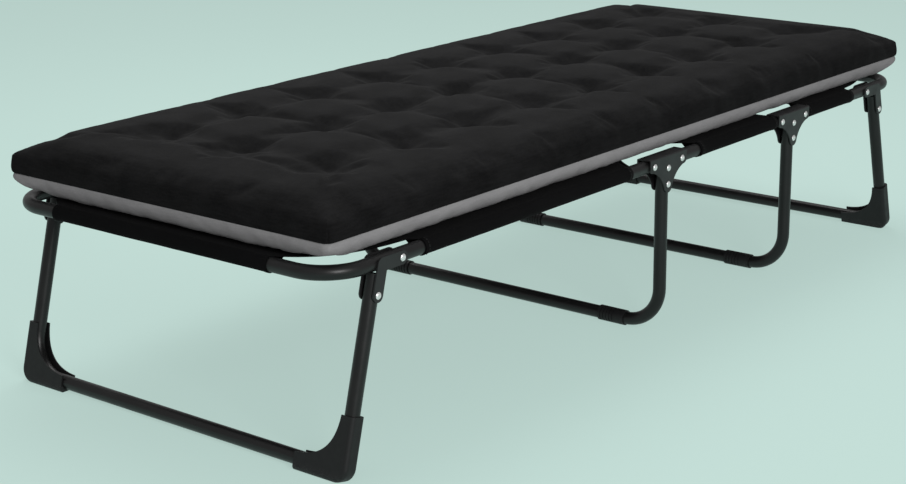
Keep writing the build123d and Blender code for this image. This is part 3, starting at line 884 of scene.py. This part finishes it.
across = seam_cap()
top_faces = [f for f in faces if max(f) < seam_first + ring_count] + [f[::-1] for f in across]
base_faces = [f for f in faces if min(f) >= seam_first] + across
cover_cloth = woven_finish("cover_cloth", *cover_black, threads=700, sheen=0.02, mottle=17)
underside_cloth = woven_finish("underside_cloth", *underside_grey, threads=700, sheen=0.01,
                               mottle=14)
cover_part("mattress_cover_top", top_faces, cover_cloth, "mattress_top")
cover_part("mattress_cover_base", base_faces, underside_cloth, "mattress_base")

# Stitches of the tufts. A strong black thread goes through the mattress and back at
# each tuft, and shows as a small cross in the dip.
tuft_stitch = lying_thread("tuft_stitch", ((0.0, 0.0062), (0.0006, 0.0057), (0.0009, 0.004),
                                           (0.00095, 0.0)), 8)
cross_rise = 0.0005
crosses = []
for tx in tuft_columns:
    for ty in tuft_rows:
        near = int(np.argmin(np.hypot(shaped[:top_count, 0] - tx, shaped[:top_count, 1] - ty)))
        middle = (tx, ty, float(shaped[near][2]) + cross_rise)
        crosses += [(middle, (0, 0, 1), lying) for lying in ((0.7, 0.7, 0), (0.7, -0.7, 0))]
tuft_crosses = placed("mattress_tuft_stitches", tuft_stitch, crosses, stitch_thread,
                      size_spread=0.08)
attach(tuft_crosses, "mattress")

# Filling. A thick quilt of pale polyester wadding inside the cover, softly rounded
# at its edges and thinner where the tufts draw it down.
wadding_low, wadding_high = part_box("mattress_filling")
quilt_size = [wadding_high[k] - wadding_low[k] for k in range(3)]
quilt_middle = [(wadding_high[k] + wadding_low[k]) / 2 for k in range(3)]
quilt_edge = 0.03
quilt_seat = 0.002
dip_radius = 0.07
dip_share, puff_share = 0.30, 0.16  # of the quilt's thickness, up from its middle


def wadding_finish():
    """Carded fibre: off-white, matt and woolly."""
    finish, parts, links, shader = new_finish("wadding")
    cloud = spread(parts, links, grain(parts, links, scale=40, detail=8), 0, 1)
    shades = two_tone(parts, links, cloud, (0.62, 0.61, 0.57, 1), (0.8, 0.79, 0.75, 1))
    links.new(shades, shader.inputs["Base Color"])
    shader.inputs["Roughness"].default_value = 1.0
    shader.inputs["Sheen Weight"].default_value = 0.3
    fibres = grain(parts, links, scale=400, detail=6, stretch=(1, 0.3, 1))
    links.new(bump(parts, links, fibres, distance=0.001, strength=0.6), shader.inputs["Normal"])
    return finish


quilt = bmesh.new()
bmesh.ops.create_grid(quilt, x_segments=90, y_segments=36, size=0.5)
for vert in quilt.verts:
    u, v = vert.co.x * 2, vert.co.y * 2
    vert.co.x = quilt_middle[0] + u * quilt_size[0] / 2
    vert.co.y = quilt_middle[1] + v * quilt_size[1] / 2
    edge = min((1 - abs(u)) * quilt_size[0] / 2, (1 - abs(v)) * quilt_size[1] / 2)
    rounded = math.sqrt(max(0, 1 - (1 - min(1, edge / quilt_edge)) ** 2))
    gap = min(math.hypot(vert.co.x - tx, vert.co.y - ty)
              for tx in tuft_columns for ty in tuft_rows)
    share = dip_share + puff_share * min(1, gap / dip_radius)
    vert.co.z = quilt_middle[2] + rounded * quilt_size[2] * share
copied = bmesh.ops.duplicate(quilt, geom=quilt.verts[:] + quilt.edges[:] + quilt.faces[:])["geom"]
for vert in [g for g in copied if isinstance(g, bmesh.types.BMVert)]:
    vert.co.z = max(wadding_low[2] + quilt_seat, 2 * quilt_middle[2] - vert.co.z)
bmesh.ops.reverse_faces(quilt, faces=[g for g in copied if isinstance(g, bmesh.types.BMFace)])
bmesh.ops.remove_doubles(quilt, verts=quilt.verts, dist=0.0005)
bmesh.ops.recalc_face_normals(quilt, faces=quilt.faces)
for face in quilt.faces:
    face.smooth = True
quilt_mesh = bpy.data.meshes.new("mattress_wadding")
quilt.to_mesh(quilt_mesh)
quilt.free()
quilt_mesh.materials.append(wadding_finish())
wadding = stood("mattress_wadding", quilt_mesh)
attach(wadding, "mattress")
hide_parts("mattress_filling")

# Studio. A plain pale green floor that runs back out of view, a wide soft light
# above the bed, a smaller one on the camera's side, and even light all round.
floor_reach = 14
pale_green = (0.552, 0.730, 0.679, 1)
plain_grey = (0.62, 0.62, 0.62, 1)
own_glow = 0.7
even_light = 0.42


def floor_paint():
    """Pale green where it is seen or mirrored, grey for the light it throws on the bed."""
    finish, parts, links, shader = new_finish("floor_paint")
    rays = parts.new("ShaderNodeLightPath")
    seen = rays.outputs["Is Camera Ray"]
    for other in ("Is Glossy Ray", "Is Transmission Ray"):
        seen = combined(parts, links, "MAXIMUM", seen, rays.outputs[other])
    links.new(two_tone(parts, links, seen, plain_grey, pale_green), shader.inputs["Base Color"])
    shader.inputs["Roughness"].default_value = 0.95
    shader.inputs["Specular IOR Level"].default_value = 0.1
    glow = parts.new("ShaderNodeEmission")
    glow.inputs["Color"].default_value = pale_green
    share = parts.new("ShaderNodeMath")
    share.operation = "MULTIPLY"
    share.inputs[1].default_value = own_glow
    links.new(seen, share.inputs[0])
    both = parts.new("ShaderNodeMixShader")
    links.new(share.outputs[0], both.inputs["Fac"])
    links.new(shader.outputs[0], both.inputs[1])
    links.new(glow.outputs[0], both.inputs[2])
    links.new(both.outputs[0], parts["Material Output"].inputs["Surface"])
    return finish


floor_mesh = bpy.data.meshes.new("floor")
floor_mesh.from_pydata([(x * floor_reach, y * floor_reach, 0)
                        for x, y in ((-1, -1), (1, -1), (1, 1), (-1, 1))], [], [(0, 1, 2, 3)])
floor_mesh.materials.append(floor_paint())
floor = stood("floor", floor_mesh)

world = bpy.data.worlds.new("studio")
bpy.context.scene.world = world
world.use_nodes = True
surround = world.node_tree.nodes["Background"]
surround.inputs["Color"].default_value = (1, 1, 1, 1)
surround.inputs["Strength"].default_value = even_light


def softbox(name, place, size, power):
    """A square soft light, aimed at the bed."""
    aim = (0, 0, 0.3)
    data = bpy.data.lights.new(name, "AREA")
    data.size = size
    data.energy = power
    lamp = stood(name, data)
    lamp.location = place
    lamp.rotation_euler = (Vector(aim) - Vector(place)).to_track_quat("-Z", "Y").to_euler()


softbox("overhead", (0.7, 0.9, 2.9), size=2.1, power=58)
softbox("camera_side", (-2.2, -3.6, 1.9), size=1.4, power=90)

# Camera. It stands where the photograph was taken from, low beyond the front right
# corner, with the long lens of a catalogue picture.
picture_width = 906  # pixels
focal_length = 1919.7  # in the same pixels
camera_place = (-2.9933, -2.2982, 1.2179)
turned_right, looking_down, tilted = 50.807, 16.322, 0.643  # degrees
lens = bpy.data.cameras.new("camera")
lens.sensor_width = 36
lens.lens = focal_length / picture_width * lens.sensor_width
camera = stood("camera", lens)
camera.matrix_world = (Matrix.Translation(camera_place)
                       @ Matrix.Rotation(math.radians(-turned_right), 4, "Z")
                       @ Matrix.Rotation(math.radians(90 - looking_down), 4, "X")
                       @ Matrix.Rotation(math.radians(-tilted), 4, "Z"))
bpy.context.scene.camera = camera
bpy.context.scene.view_settings.view_transform = "Standard"
